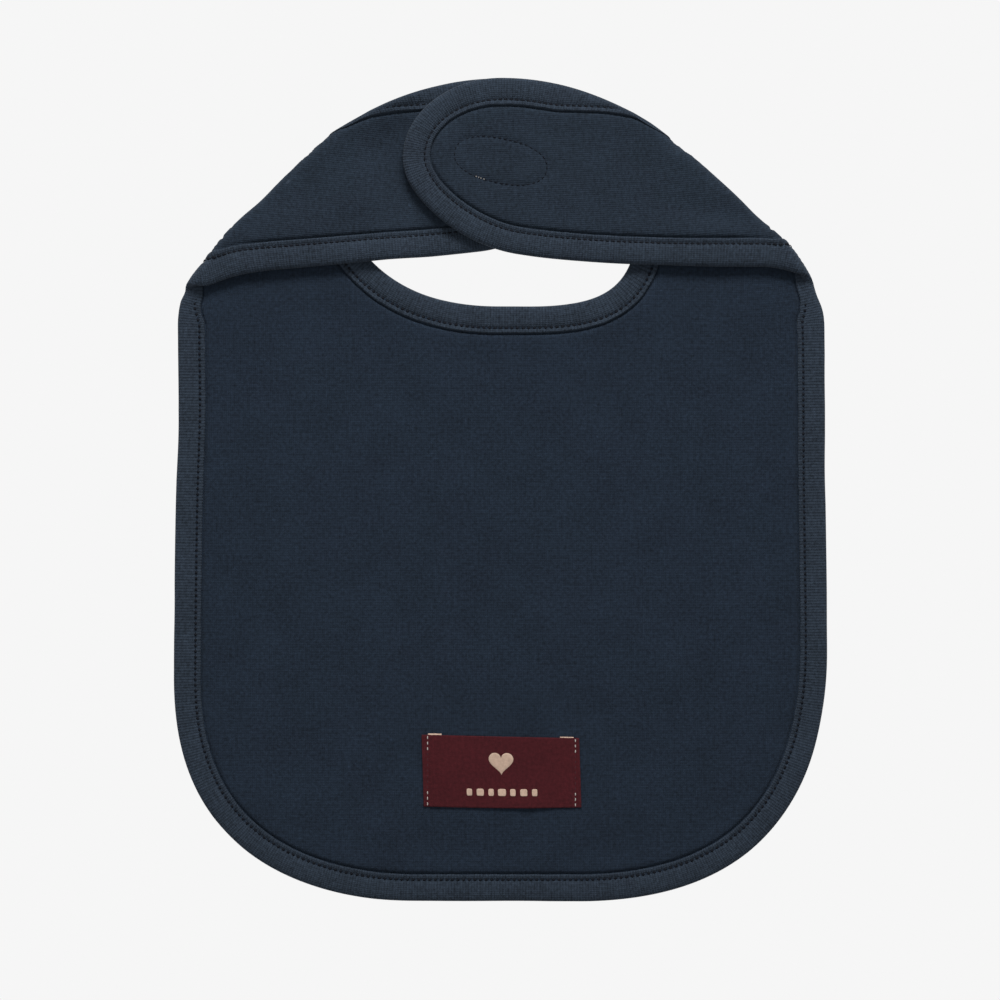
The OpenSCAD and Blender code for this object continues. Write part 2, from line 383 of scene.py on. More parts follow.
def caps(points, faces):
    """Triangles that close the holes of a mesh, laid across each hole from one end to the other."""
    after = {b: a for a, b in rim_edges(faces)}
    out = []
    while after:
        start, at = after.popitem()
        loop = [start]
        while at != start and at in after:
            loop.append(at)
            at = after.pop(at)
        first = int(np.argmin(points[loop][:, 0]))
        loop = loop[first:] + loop[:first]
        p = points[loop]
        a, b = 0, len(loop) - 1
        while b - a > 1:
            if np.linalg.norm(p[a + 1] - p[b]) < np.linalg.norm(p[b - 1] - p[a]):
                out.append([loop[a], loop[a + 1], loop[b]])
                a += 1
            else:
                out.append([loop[a], loop[b - 1], loop[b]])
                b -= 1
    return out


def folded(name, part, side, material):
    """The mesh of a flat part, laid in its place on the folded bib."""
    points, faces = part[:2]
    uv = part[2] if len(part) > 2 else points[:, :2]
    return mesh_of(name, place(points, side), faces, uv, material)


# ---------------------------------------------------------------- materials

def tree_of(name):
    mat = bpy.data.materials.new(name)
    mat.use_nodes = True
    return mat, mat.node_tree, mat.node_tree.nodes["Principled BSDF"]


def node(tree, kind, **settings):
    n = tree.nodes.new(kind)
    for key, value in settings.items():
        if hasattr(n, key):
            setattr(n, key, value)
        else:
            n.inputs[key.replace("_", " ")].default_value = value
    return n


def math_node(tree, operation, a, b=None):
    n = tree.nodes.new("ShaderNodeMath")
    n.operation = operation
    for socket, value in zip(n.inputs, (a, b)):
        if value is None:
            continue
        if isinstance(value, (int, float)):
            socket.default_value = value
        else:
            tree.links.new(value, socket)
    return n.outputs[0]


def linear(rgb):
    """Linear colour of an sRGB colour from 0 to 255."""
    parts = [c / 255 for c in rgb]
    return tuple(c / 12.92 if c <= 0.04045 else ((c + 0.055) / 1.055) ** 2.4 for c in parts) + (1,)


def stretched_noise(tree, uv, scale, across, up, detail=2.0):
    """Noise output with its own scale in each direction of the cloth."""
    wide = tree.nodes.new("ShaderNodeVectorMath")
    wide.operation = "MULTIPLY"
    wide.inputs[1].default_value = (across, up, 1)
    tree.links.new(uv, wide.inputs[0])
    noise = node(tree, "ShaderNodeTexNoise", Scale=scale, Detail=detail, Roughness=0.6)
    tree.links.new(wide.outputs[0], noise.inputs["Vector"])
    return noise.outputs[0]


def tinted(tree, rgb, tone, socket):
    """Links a colour, made lighter or darker by tone, to a socket."""
    scale = node(tree, "ShaderNodeVectorMath", operation="SCALE")
    scale.inputs[0].default_value = linear(rgb)[:3]
    tree.links.new(tone, scale.inputs["Scale"])
    tree.links.new(scale.outputs[0], socket)


def cloth_material(name, rgb, wale, course, relief, mottle=1.0, sheen=0.06, lint=0.0, rib_shade=0.0):
    """Knitted or woven cloth: wale and course are the thread spacings in millimetres."""
    mat, tree, bsdf = tree_of(name)
    uv = node(tree, "ShaderNodeUVMap", uv_map="UVMap").outputs[0]
    split = tree.nodes.new("ShaderNodeSeparateXYZ")
    tree.links.new(uv, split.inputs[0])
    across = math_node(tree, "MULTIPLY", split.outputs[0], math.pi / wale / MM)
    col = math_node(tree, "ABSOLUTE", math_node(tree, "SINE", across))
    lean = math_node(tree, "MULTIPLY", col, 1.2)
    up = math_node(tree, "MULTIPLY", split.outputs[1], math.tau / course / MM)
    row = math_node(tree, "SINE", math_node(tree, "ADD", up, lean))
    height = math_node(tree, "ADD", col, math_node(tree, "MULTIPLY", row, 0.3))
    fuzz = stretched_noise(tree, uv, 1400.0, 1, 1, 3.0)
    height = math_node(tree, "ADD", height, fuzz)
    bump = node(tree, "ShaderNodeBump", Strength=relief, Distance=0.00025)
    tree.links.new(height, bump.inputs["Height"])
    tree.links.new(bump.outputs[0], bsdf.inputs["Normal"])
    tone = None
    for share, *noise in (  # fine speckle, streaks both ways and broad clouds
            (1.15, 820.0, 1, 1, 3.0), (0.3, 300.0, 0.35, 4.5, 2.0), (0.3, 300.0, 4.5, 0.35, 2.0),
            (0.35, 60.0, 1, 1, 2.0)):
        part = math_node(tree, "SUBTRACT", stretched_noise(tree, uv, *noise), 0.5)
        part = math_node(tree, "MULTIPLY", part, share * mottle)
        tone = part if tone is None else math_node(tree, "ADD", tone, part)
    # painted shade: darker in the grooves between the wales, lighter on their crests, following the
    # bump's height
    wale_groove_shade = math_node(tree, "MULTIPLY", math_node(tree, "SUBTRACT", col, 0.64), 0.16 + rib_shade)
    tone = math_node(tree, "ADD", math_node(tree, "ADD", tone, wale_groove_shade), 1.0)
    if lint:
        specks = stretched_noise(tree, uv, 330.0, 1, 1, 1.0)
        over = math_node(tree, "MAXIMUM", math_node(tree, "SUBTRACT", specks, 0.72), 0.0)
        tone = math_node(tree, "ADD", tone, math_node(tree, "MULTIPLY", over, lint))
    tinted(tree, rgb, tone, bsdf.inputs["Base Color"])
    bsdf.inputs["Roughness"].default_value = 0.95
    bsdf.inputs["Specular IOR Level"].default_value = 0.12
    bsdf.inputs["Sheen Weight"].default_value = sheen
    bsdf.inputs["Sheen Roughness"].default_value = 0.6
    bsdf.inputs["Sheen Tint"].default_value = (0.55, 0.65, 0.8, 1)
    return mat


def plain_material(name, rgb, rough):
    """Thread or moulded plastic, with a little unevenness."""
    mat, tree, bsdf = tree_of(name)
    uv = node(tree, "ShaderNodeUVMap", uv_map="UVMap").outputs[0]
    speckle = math_node(tree, "MULTIPLY", stretched_noise(tree, uv, 1500.0, 1, 1), 0.9)
    tinted(tree, rgb, math_node(tree, "ADD", speckle, 0.55), bsdf.inputs["Base Color"])
    bsdf.inputs["Roughness"].default_value = rough
    bsdf.inputs["Specular IOR Level"].default_value = 0.2
    return mat


KNIT = {"wale": 0.78, "course": 0.62, "relief": 0.4, "mottle": 1.5, "lint": 5.0}
JERSEY = cloth_material("navy_jersey", (26, 35.5, 47.5), **KNIT)
REVERSE = cloth_material("navy_jersey_back", (30, 39, 49.5), **KNIT)
# its extra rib contrast is painted shade of the grooves between the tape's ribs
RIB = cloth_material(
    "ribbed_tape", (37.5, 46, 56.5), RIBS, 0.7, 0.55, mottle=1.7, sheen=0.08, rib_shade=0.16)
WADDING = cloth_material("wadding", (44, 53, 64), 2.5, 2.5, 0.8, mottle=0.8)
# navy thread, made darker as painted shade of the holes the stitches sink into
THREAD_AND_PIT_SHADE = plain_material("navy_thread", (5, 9, 19), 0.8)
LABEL = cloth_material("label_ground", (67, 21, 25.5), 0.3, 0.34, 0.5, mottle=0.95, sheen=0.05)
FIGURE = cloth_material("label_figure", (186, 160, 142), 0.3, 0.34, 0.3, mottle=0.5, sheen=0.05)
LABEL_THREAD = plain_material("label_thread", (60, 24, 30), 0.6)
FLECK = plain_material("fleck_thread", (170, 164, 160), 0.6)
HOOK = plain_material("hook_tape", (22, 27, 38), 0.45)
LOOP = cloth_material("loop_tape", (28, 34, 46), 1.3, 1.3, 0.9, mottle=1.4, sheen=0.3)


# ---------------------------------------------------------------- jersey layers

def on_patch(points):
    """Points of a fastening patch, in their place on the folded strap."""
    return turned(points, math.radians(-12)) + [0.2, 120.8]


def patch_ring(angles, grow=0.0):
    """The patches' oval line of stitches, as the folded strap lies."""
    return on_patch(superellipse(angles, 17.2 + grow, 8.1 + grow, 2.3))


def unfolded_on(side, xy):
    """Where a point of one side's folded strap lies in the flat bib."""
    return unfolded(xy * [side, 1]) * [side, 1]


RING = {side: unfolded_on(side, patch_ring(np.radians(np.arange(0, 360, 1.5))))
        for side in (1, -1)}


def edge_rows():
    """Outline points that the cloth's rows start from, closer together in the folds."""
    n = np.arange(len(OUTLINE))
    fine = n % 4 == 0
    for side in (1, -1):
        w = beyond(OUTLINE, side)
        fine |= (w > -4) & (w < TURN + 4) & (OUTLINE[:, 0] * side > 0)
    return n[fine]


def cloth_points():
    """Flat points of a jersey layer: rows that follow the edge, the folds and an even filling."""
    rows = edge_rows()
    keep = [OUTLINE[rows] + INWARD[rows] * s
            for s in (7.5, 9.3, 9.8, 10.05, 10.3, 10.6, 11.0, 11.7, 13, 15)]
    low, high = OUTLINE.min(0), OUTLINE.max(0)
    x, y = np.meshgrid(np.arange(low[0], high[0], 2.3), np.arange(low[1], high[1], 2.0))
    x = x + np.where(np.arange(len(x)) % 2, 1.15, 0.0)[:, None]
    fill = np.stack([x.ravel(), y.ravel()], 1)
    along, w = np.meshgrid(np.arange(-14, 110, 1.3), np.linspace(0, TURN, 15))
    roll = FOLD + along.ravel()[:, None] * ALONG - w.ravel()[:, None] * INTO
    for side in (1, -1):
        fill = fill[~((beyond(fill, side) > -1) & (beyond(fill, side) < TURN + 1)
                      & (fill[:, 0] * side > 0))]
    fill = np.vstack([fill, roll, roll * [-1, 1]])
    inner = OUTLINE[rows] + INWARD[rows] * 16.5
    keep.append(fill[inside(fill, OUTLINE[::4]) & (nearest(fill)[0] > 17.4)])
    for side in (1, -1):
        ring = RING[side][::2]
        centre = ring.mean(0)
        keep += [centre + (ring - centre) * k for k in (0.93, 0.97, 1.0, 1.03, 1.07)]
    keep.append(inner)
    return OUTLINE[rows] + INWARD[rows] * 6.0, np.vstack(keep)


def inside(points, loop):
    """Which points lie inside a closed line."""
    hit = np.zeros(len(points), bool)
    a, b = loop, np.roll(loop, -1, axis=0)
    for (x0, y0), (x1, y1) in zip(a, b):
        if y0 == y1:
            continue
        between = (y0 > points[:, 1]) != (y1 > points[:, 1])
        hit ^= between & (points[:, 0] < x0 + (points[:, 1] - y0) * (x1 - x0) / (y1 - y0))
    return hit


def near_fold(xy, reach=10):
    """1 away from the folds, 0 on them."""
    out = np.ones(len(xy))
    for side in (1, -1):
        w = beyond(xy, side)
        gap = np.maximum(np.maximum(-w, w - TURN), 0)
        out *= np.where(xy[:, 0] * side > 0, smooth(gap / reach), 1)
    return out


def relief(xy, s, seed):
    """Height of a jersey layer's face over the plain padded thickness."""
    crease = -0.85 * np.exp(-(((s - TAPE - 0.35) / 0.5) ** 2)) * smooth((s - TAPE + 0.6) / 0.5)
    puff = 0.16 * np.exp(-(((s - TAPE - 3.5) / 3.0) ** 2))
    grain = 0.05 * waves(xy, seed, 9) + 0.10 * waves(xy, seed + 1, 30)
    ring = np.zeros(len(xy))
    for side in (1, -1):
        close = np.linalg.norm(xy - RING[side].mean(0), axis=1) < 24
        if close.any():
            part = xy[close][:, None, :] - RING[side][None]
            ring[close] -= 0.3 * np.exp(-(((part**2).sum(2).min(1)) / 0.55))
    tape = -0.12 * smooth((TAPE - s) / 0.3)
    away = near_fold(xy)
    crease *= 0.3 + 0.7 * away
    return crease + puff * away + grain * smooth((s - TAPE) / 6) * away + ring + tape


def sway(xy, s):
    """Slow rise and fall of the whole padded cloth."""
    return (0.22 * waves(xy, 5, 85, 5) + 0.08) * smooth((s - TAPE) / 22) * near_fold(xy)


def dents(xy):
    """Soft creases across the straps, where the cloth was folded over."""
    total = np.zeros(len(xy))
    for side, line, depth, wide in (
            (1, [(97, 99), (52, 106)], 0.7, 4.5), (-1, [(92, 104), (40, 118)], 0.8, 5.0),
            (-1, [(60, 97), (34, 101)], 0.5, 4.0)):
        a, b = unfolded(np.array(line, float))
        q = xy * [side, 1] - a
        long = np.linalg.norm(b - a)
        t = q @ (b - a) / long
        off = q @ np.array([-(b - a)[1], (b - a)[0]]) / long
        shape = np.exp(-((off / wide) ** 2)) * smooth((t + 6) / 14) * smooth((long + 6 - t) / 20)
        total += depth * shape * (xy[:, 0] * side > 0)
    return np.minimum(total, 0.7)


def jersey_layer():
    """Flat points and triangles that all three layers of the padded cloth share."""
    loop, extra = cloth_points()
    points = np.vstack([loop, extra])
    edges = [(i, (i + 1) % len(loop)) for i in range(len(loop))]
    verts, _, faces, *_ = delaunay_2d_cdt([Vector(p) for p in points], edges, [], 1, 1e-4, False)
    verts, faces = np.array(verts)[:, :2], np.array([list(f) for f in faces])
    faces = faces[inside(verts[faces].mean(1), loop)]
    used = np.unique(faces)
    new = np.zeros(len(verts), int)
    new[used] = np.arange(len(used))
    return verts[used], new[faces].tolist()


flat_xy, flat_faces = jersey_layer()
flat_depth, flat_edge = nearest(flat_xy)
flat_sway = sway(flat_xy, flat_depth)
front_xy = rolled_out(flat_xy, flat_depth, flat_edge, FRONT_SLIDE)
back_xy = rolled_out(flat_xy, flat_depth, flat_edge, SLIDE)
back_depth = slid(flat_depth, SLIDE[flat_edge])


def shell(xy, front_h, back_h):
    """Closed layer between two heights over the flat cloth."""
    n = len(xy)
    points = np.vstack([np.column_stack([xy, front_h]), np.column_stack([xy, back_h])])
    faces = flat_faces + [[i + n for i in f[::-1]] for f in flat_faces]
    faces += [[b, a, a + n, b + n] for a, b in rim_edges(flat_faces)]
    return points, faces


front_face = PANEL + relief(flat_xy, flat_depth, 21) + flat_sway
back_plain = PANEL + relief(flat_xy, flat_depth, 47) - flat_sway * 0.6 - dents(flat_xy)
back_plain = np.maximum(back_plain, 0.3)
back_face = -np.minimum(back_plain, crown(back_depth) - 0.08)
thick = smooth((flat_depth - 12.5 - 0.6 * SLIDE[flat_edge]) / 3)  # wadding, thin by the tape
layers = {
    "front": shell(front_xy, front_face, front_face - LAYER),
    "back": shell(back_xy, np.minimum(back_face + LAYER, -0.02), back_face),
    "middle": shell(flat_xy, 0.1 + (front_face - 0.72) * thick,
                    np.maximum(-0.1 - 0.4 * thick, 0.35 - back_plain)),
}

NAME = {0: "body", 1: "right_strap", -1: "left_strap"}
pieces = {}
for layer, material in (("front", JERSEY), ("middle", WADDING), ("back", REVERSE)):
    for side, part in cut(*layers[layer]).items():
        pieces[layer, side] = folded(f"{NAME[side]}_{layer}_cloth", part, side, material)


# ---------------------------------------------------------------- ribbed binding

def section():
    """Half of the tape's cross-section: (distance in, height) of its outer and inner face."""
    outer = [(10.0, 0.9), (9.99, 1.2), (9.85, 1.45), (9.5, 1.55), (9.05, 1.5), (8.6, 1.32),
             (8.1, 1.1), (7.7, 1.2), (7.3, 1.38), (6.7, 1.54), (5.7, 1.66), (4.5, 1.71),
             (3.3, 1.7), (2.4, 1.62), (1.6, 1.46), (0.95, 1.22), (0.5, 0.94), (0.18, 0.58),
             (0.0, 0.0)]
    inner = [(0.5, 0.0), (0.8, 0.5), (2.4, 1.0), (9.6, 0.85)]
    return outer, inner


def tape_mesh(lower=False):
    """Front half of the binding all round the flat bib, or the back half."""
    outer, inner = section()
    sh = np.array(outer + inner)
    n, k = len(OUTLINE), len(sh)
    arc = np.arange(n) * np.linalg.norm(np.roll(OUTLINE, -1, axis=0) - OUTLINE, axis=1).mean()
    s, h = sh[:, 0][None], sh[:, 1][None]
    skin = (np.arange(k) < len(outer))[None]

    def band(middle, width):
        return np.exp(-(((s - middle) / width) ** 2))

    wave = np.cos(math.tau * arc / PITCH)[:, None]
    pull = (-0.1 if lower else -0.22) * (0.5 + 0.5 * wave) * band(STITCH_IN, 0.6) * skin
    bulge = 0.07 * waves(OUTLINE, 3 if lower else 4, 16)[:, None] * band(4.8, 2.7) * skin
    edge = 0.16 * waves(OUTLINE, 9, 34)[:, None] * band(0, 2.5)
    lip = 0.12 * waves(OUTLINE, 13 if lower else 12, 7)[:, None] * band(TAPE, 0.6) * skin
    pressed = 0.75 * (1 - near_fold(OUTLINE, 3.5))[:, None] * skin
    pressed = pressed * smooth((s - 5.5) / 1.5) * smooth((9.9 - s) / 0.3)
    h = h + (np.interp(s, [5.5, 9.9], [1.67, 1.45]) - h) * pressed
    slide = (SLIDE if lower else FRONT_SLIDE)[:, None]
    at = slid(s + edge + lip, slide)
    z = h + pull * (1 - pressed) + bulge
    z = np.where(slide > 0.05, np.minimum(z, crown(at)), z)
    xy = OUTLINE[:, None, :] + INWARD[:, None, :] * at[:, :, None]
    points = np.concatenate([xy, z[:, :, None] * (-1 if lower else 1)], 2).reshape(-1, 3)
    uv = np.stack([np.repeat(arc, k), np.tile(sh[:, 0], n)], 1)
    i, j = np.meshgrid(np.arange(n), np.arange(k), indexing="ij")
    a, b = i * k + j, i * k + (j + 1) % k
    c, d = ((i + 1) % n) * k + (j + 1) % k, ((i + 1) % n) * k + j
    quads = np.stack([a, b, c, d] if lower else [a, d, c, b], -1).reshape(-1, 4)
    return points, quads.tolist(), uv


def by_neck(xy):
    """Which flat points of the body belong to the neckline rather than to its outer edge."""
    return (xy[:, 1] > 45) & (np.abs(xy[:, 0]) < 82) & \
           (np.hypot(xy[:, 0] / 57, (xy[:, 1] - NECK_Y) / 46.5) < 1.75)


def split_neck(part):
    """Parts the body's tape into its outer edge and its neckline."""
    points, faces, uv = part
    neck = by_neck(np.array([points[f].mean(0)[:2] for f in faces]))
    return [subset(points, [f for f, k in zip(faces, mask) if k], uv) for mask in (~neck, neck)]


def joined(a, b):
    """Two meshes as one."""
    faces = a[1] + [[i + len(a[0]) for i in f] for f in b[1]]
    return [np.vstack([a[0], b[0]]), faces] + [np.vstack(both) for both in zip(a[2:], b[2:])]


tape = {"front": cut(*tape_mesh()), "back": cut(*tape_mesh(lower=True))}
edge_f, neck_f = split_neck(tape["front"][0])
edge_b, neck_b = split_neck(tape["back"][0])
pieces["edge"] = folded("edge_binding_tape", joined(edge_f, edge_b), 0, RIB)
pieces["neck"] = folded("neck_binding_tape", joined(neck_f, neck_b), 0, RIB)
for face in ("front", "back"):
    for side in (1, -1):
        pieces["tape", face, side] = folded(
            f"{NAME[side]}_binding_{face}", tape[face][side], side, RIB)


# ---------------------------------------------------------------- stitches

BOBBIN = {"length": 1.75, "width": 0.7, "up": -1.0}  # the finer stitches of the back face


def thread_bits(centres, directions, h, length=1.3, width=1.05, up=1.0):
    """One short sunk stitch at each flat centre, lying along its direction; its default size, wider
    than a thread, includes painted shade of the stitch hole.
    """
    turns, rings = 8, 5
    u = np.linspace(-1, 1, rings)
    radius = np.sqrt(np.clip(1 - u**2 * 0.9, 0, 1)) * width / 2
    a = np.arange(turns) / turns * math.tau
    shape = np.stack([
        np.repeat(u * length / 2, turns),
        (radius[:, None] * np.cos(a)).ravel(),
        (radius[:, None] * np.sin(a)).ravel() * 0.5 - np.repeat(0.14 * u**2, turns)], 1)
    tip = rings * turns
    faces = []
    for r in range(rings - 1):
        for t in range(turns):
            p, q = r * turns + t, r * turns + (t + 1) % turns
            faces.append([p, p + turns, q + turns, q])
    faces.append(list(range(turns)))
    faces.append(list(range(tip - 1, tip - turns - 1, -1)))
    points, polys = [], []
    heights = np.broadcast_to(h, len(centres))
    for i, (c, d) in enumerate(zip(centres, directions)):
        across = np.array([-d[1], d[0]])
        xy = c + np.outer(shape[:, 0], d) + np.outer(shape[:, 1], across)
        points.append(np.column_stack([xy, heights[i] + up * shape[:, 2]]))
        polys += [[v + i * tip for v in (f if up > 0 else f[::-1])] for f in faces]
    return (np.vstack(points), polys) if points else (np.zeros((0, 3)), [])


def along_line(line, step):
    """Stitch centres and directions along a closed line."""
    seg = np.linalg.norm(np.roll(line, -1, axis=0) - line, axis=1)
    total = seg.sum()
    n = int(round(total / step))
    arc = np.concatenate([[0], np.cumsum(seg)])
    ring = np.vstack([line, line[:1]])
    at = (np.arange(n) + 0.5) * total / n
    p = np.stack([np.interp(at, arc, ring[:, i]) for i in (0, 1)], 1)
    q = np.stack([np.interp((at + 0.5) % total, arc, ring[:, i]) for i in (0, 1)], 1)
    d = q - p
    return p, d / np.linalg.norm(d, axis=1)[:, None]


SLANT = 0.10  # every stitch lies a little across its line

sew_at, sew_dir = along_line(OUTLINE + INWARD * STITCH_IN, PITCH)
sew_dir = turned(sew_dir, SLANT)
sew_edge = nearest(sew_at)[1]
sew_side = side_of(sew_at)
sew_neck = (sew_side == 0) & by_neck(sew_at)
sew_back = rolled_out(sew_at, STITCH_IN, sew_edge, SLIDE)
sew_front = rolled_out(sew_at, STITCH_IN, sew_edge, FRONT_SLIDE)
sew_h = SEWN + 0.26 * (1 - near_fold(sew_at, 3.5))
gone = slid(STITCH_IN, SLIDE[sew_edge]) < 1.6  # rolled over to the far side


def front_threads_and_pit_shade(pick):
    """Stitches of the picked part of the line, on the front face, drawn wide and dark as thread
    with painted shade of its holes.
    """
    return thread_bits(sew_front[pick], sew_dir[pick], sew_h[pick])


def back_threads(at, pick):
    """The same on the back face."""
    return thread_bits(at[pick], sew_dir[pick], -sew_h[pick], **BOBBIN)


for side in (1, -1):
    pick = sew_side == side
    for face, threads in (
            ("front", front_threads_and_pit_shade(pick)), ("back", back_threads(sew_back, pick & ~gone))):
        pieces["sew", face, side] = folded(f"{NAME[side]}_topstitch_{face}", threads, side, THREAD_AND_PIT_SHADE)
for key, pick in (("edge", (sew_side == 0) & ~sew_neck), ("neck", sew_neck)):
    both = joined(front_threads_and_pit_shade(pick), back_threads(sew_at, pick))
    pieces["sew", key] = folded(f"{key}_topstitch_threads", both, 0, THREAD_AND_PIT_SHADE)


# ---------------------------------------------------------------- fastening patches

def patch_plate(side, h0, h1, name, material):
    """Oval plate on a strap, between heights h0 (on the cloth) and h1 (its free face)."""
    rings = np.concatenate([np.linspace(0.04, 0.84, 18), [0.88, 0.92, 0.96, 1.0]])
    a = np.radians(np.arange(0, 360, 3))
    outline = patch_ring(a, 1.4) * [side, 1]
    centre = outline.mean(0)
    grid = np.vstack([centre + (outline - centre) * r for r in rings])
    flat = unfolded_on(side, grid)
    r = np.repeat(rings, len(a))
    ring = np.exp(-(((r - 0.915) / 0.025) ** 2))
    top = h1 + np.sign(h0 - h1) * (0.18 * ring + 0.15 * smooth((r - 0.97) / 0.03))
    n, m = len(flat), len(a)
    points = np.vstack([np.column_stack([flat, top]), np.column_stack([flat, np.full(n, h0)])])
    faces = []
    for i in range(len(rings) - 1):
        for j in range(m):
            p, q = i * m + j, i * m + (j + 1) % m
            faces += [[p, q, q + m, p + m], [q + n, p + n, p + m + n, q + m + n]]
    last = (len(rings) - 1) * m
    faces += [[last + j, last + (j + 1) % m, last + (j + 1) % m + n, last + j + n]
              for j in range(m)]
    faces += [list(range(m))[::-1], list(range(n, n + m))]
    return folded(name, (points, faces), side, material)


def patch_seam(side, h, up, name):
    """Oval line of stitches round a patch."""
    at, way = along_line(RING[side], 2.0)
    return folded(name, thread_bits(at, way, h, 1.4, 0.34, up=up), side, THREAD_AND_PIT_SHADE)


def nap(side, h0, up, name, material, height, step, looped):
    """Small hooks, or loops that stand every way, on a patch."""
    r = np.random.default_rng(7 + side)
    gx, gy = np.meshgrid(np.arange(-17, 17.1, step), np.arange(-9, 9.1, step * 0.9))
    spots = np.stack([gx.ravel(), gy.ravel()], 1) + r.normal(0, step * 0.06, (gx.size, 2))
    keep = (np.abs(spots[:, 0] / 15.6) ** 2.4 + np.abs(spots[:, 1] / 7.1) ** 2.4) < 1
    t = np.linspace(0, 1, 6)
    if looped:
        reach, rise = 0.55 * (t - 0.5), height * np.sin(t * math.pi * 0.98)
    else:
        reach, rise = 0.306 * np.sin(t * math.pi * 0.8), height * np.sin(t * math.pi * 0.72)
    radius, turns = 0.075, 3
    corners = np.arange(turns) * math.tau / turns
    points, faces = [], []
    for count, base in enumerate(on_patch(spots[keep])):
        way = r.uniform(0, math.tau) if looped else (0.0 if count % 2 else math.pi)
        start = len(points)
        for b, z in zip(reach, rise):
            c = base + b * np.array([math.cos(way), math.sin(way)])
            for k, corner in enumerate(corners):
                points.append([c[0] + radius * math.cos(corner), c[1] + radius * math.sin(corner),
                               h0 + up * (z + (0.05 if k == 0 else 0))])
        for q in range(len(t) - 1):
            for k in range(turns):
                a, b = start + q * turns + k, start + q * turns + (k + 1) % turns
                faces.append([a, b, b + turns, a + turns])
        faces.append([len(points) - 3, len(points) - 2, len(points) - 1])
    p = np.array(points)
    return folded(
        name, (np.column_stack([unfolded_on(side, p[:, :2]), p[:, 2]]), faces), side, material)


pieces["hook"] = patch_plate(1, 1.15, 1.45, "hook_patch_plate", HOOK)
pieces["hooks"] = nap(1, 1.4, 1.0, "hook_patch_hooks", HOOK, 0.26, 1.15, False)
pieces["loop"] = patch_plate(-1, -1.15, -1.6, "loop_patch_plate", LOOP)
pieces["loops"] = nap(-1, -1.52, -1.0, "loop_patch_loops", LOOP, 0.2, 0.95, True)
pieces["hook_sew_top"] = patch_seam(1, -1.08, -1.0, "hook_patch_threads_top")
pieces["hook_sew_low"] = patch_seam(1, 1.36, 1.0, "hook_patch_threads_under")
pieces["loop_sew_top"] = patch_seam(-1, -1.5, -1.0, "loop_patch_threads_top")
pieces["loop_sew_low"] = patch_seam(-1, 1.08, 1.0, "loop_patch_threads_under")


# ---------------------------------------------------------------- label

LABEL_AT = np.array([0.5, -104.0])
LABEL_TURN = math.radians(-0.8)
LABEL_SEAM = 27.2  # distance of both end seams from the label's middle


def label_height(u, v):
    """Height of the label's face over the table, u and v counted from the label's middle."""
    xy = np.stack([u, v], 1)
    sewn = np.exp(-(((np.abs(u) - LABEL_SEAM) / 0.8) ** 2))
    lift = 0.5 * smooth((24.5 - np.abs(u)) / 14) * (0.7 + 0.3 * np.sin(u / 7.5 + 0.8))
    wave = 0.10 * waves(xy, 31, 17) + 0.12 * np.sin(u / 5.2) * smooth((-v - 6) / 7)
    return 3.62 + lift * 0.55 + wave * smooth((25.5 - np.abs(u)) / 4) - 0.28 * sewn


def on_label(uvz):
    """Points of the label, a little askew and sagging, in their place on the body."""
    out = np.array(uvz, float)
    u, v = out[:, 0].copy(), out[:, 1].copy()
    out[:, 0] = u - 0.045 * v
    out[:, 1] = v * (1 - 0.0006 * u) - 0.4 * np.cos(u * math.pi / 58) * smooth(-v / 13)
    out[:, :2] = turned(out[:, :2], LABEL_TURN) + LABEL_AT
    return out


def grid_sheet(name, u, v, top, thick, material):
    """Closed thin sheet over a rectangular grid."""
    gu, gv = np.meshgrid(u, v)
    fu, fv = gu.ravel(), gv.ravel()
    z = top(fu, fv)
    n, w = len(fu), len(u)
    points = np.vstack([np.column_stack([fu, fv, z]), np.column_stack([fu, fv, z - thick])])
    faces = []
    for i in range(len(v) - 1):
        for j in range(w - 1):
            p = i * w + j
            faces += [[p, p + 1, p + w + 1, p + w], [p + w + n, p + w + 1 + n, p + 1 + n, p + n]]
    faces += [[b, a, a + n, b + n] for a, b in rim_edges([f for f in faces if max(f) < n])]
    return mesh_of(name, warped(on_label(points)), faces, points[:, :2], material)


pieces["label"] = grid_sheet(
    "label_cloth", np.linspace(-29, 29, 117), np.linspace(-13, 13, 53), label_height, 0.42, LABEL)


def end_height(u, v):
    """Height of the label's turned-under ends over the table."""
    return 3.16 + 0.05 * waves(np.stack([u, v], 1), 8, 6)


ends = [
    grid_sheet(f"label_end_{word}", np.linspace(*reach, 12), np.linspace(-12.2, top, 40),
               end_height, 0.28, FIGURE)
    for word, reach, top in (("left", (-26.6, -21.6), 13.5), ("right", (22.0, 27.0), 13.35))]


def heart(n=60):
    """Outline of a heart."""
    t = np.linspace(0, math.tau, n, endpoint=False)
    x = 16 * np.sin(t) ** 3
    y = 13 * np.cos(t) - 5 * np.cos(2 * t) - 2 * np.cos(3 * t) - np.cos(4 * t)
    return np.stack([x, y], 1) * 0.29 + [0, 3.6]


def raised_shape(outline, rise=0.12):
    """Filled figure lying on the label."""
    centre = outline.mean(0)
    rings = [0.25, 0.5, 0.75, 0.93, 1.0]
    uv = np.vstack([[centre]] + [centre + (outline - centre) * r for r in rings])
    lift = np.concatenate([[rise], np.repeat([rise, rise, rise, rise, -0.05], len(outline))])
    z = label_height(uv[:, 0], uv[:, 1]) + lift
    m = len(outline)
    faces = [[0, 1 + j, 1 + (j + 1) % m] for j in range(m)]
    for r in range(len(rings) - 1):
        for j in range(m):
            p, q = 1 + r * m + j, 1 + r * m + (j + 1) % m
            faces.append([p, p + m, q + m, q])
    return np.column_stack([uv, z]), faces


def bar(x, y, w, h):
    """Outline of a short bar with rounded corners."""
    p = superellipse(np.radians(np.arange(0, 360, 12)), w / 2, h / 2, 5)
    return p + [x, y]


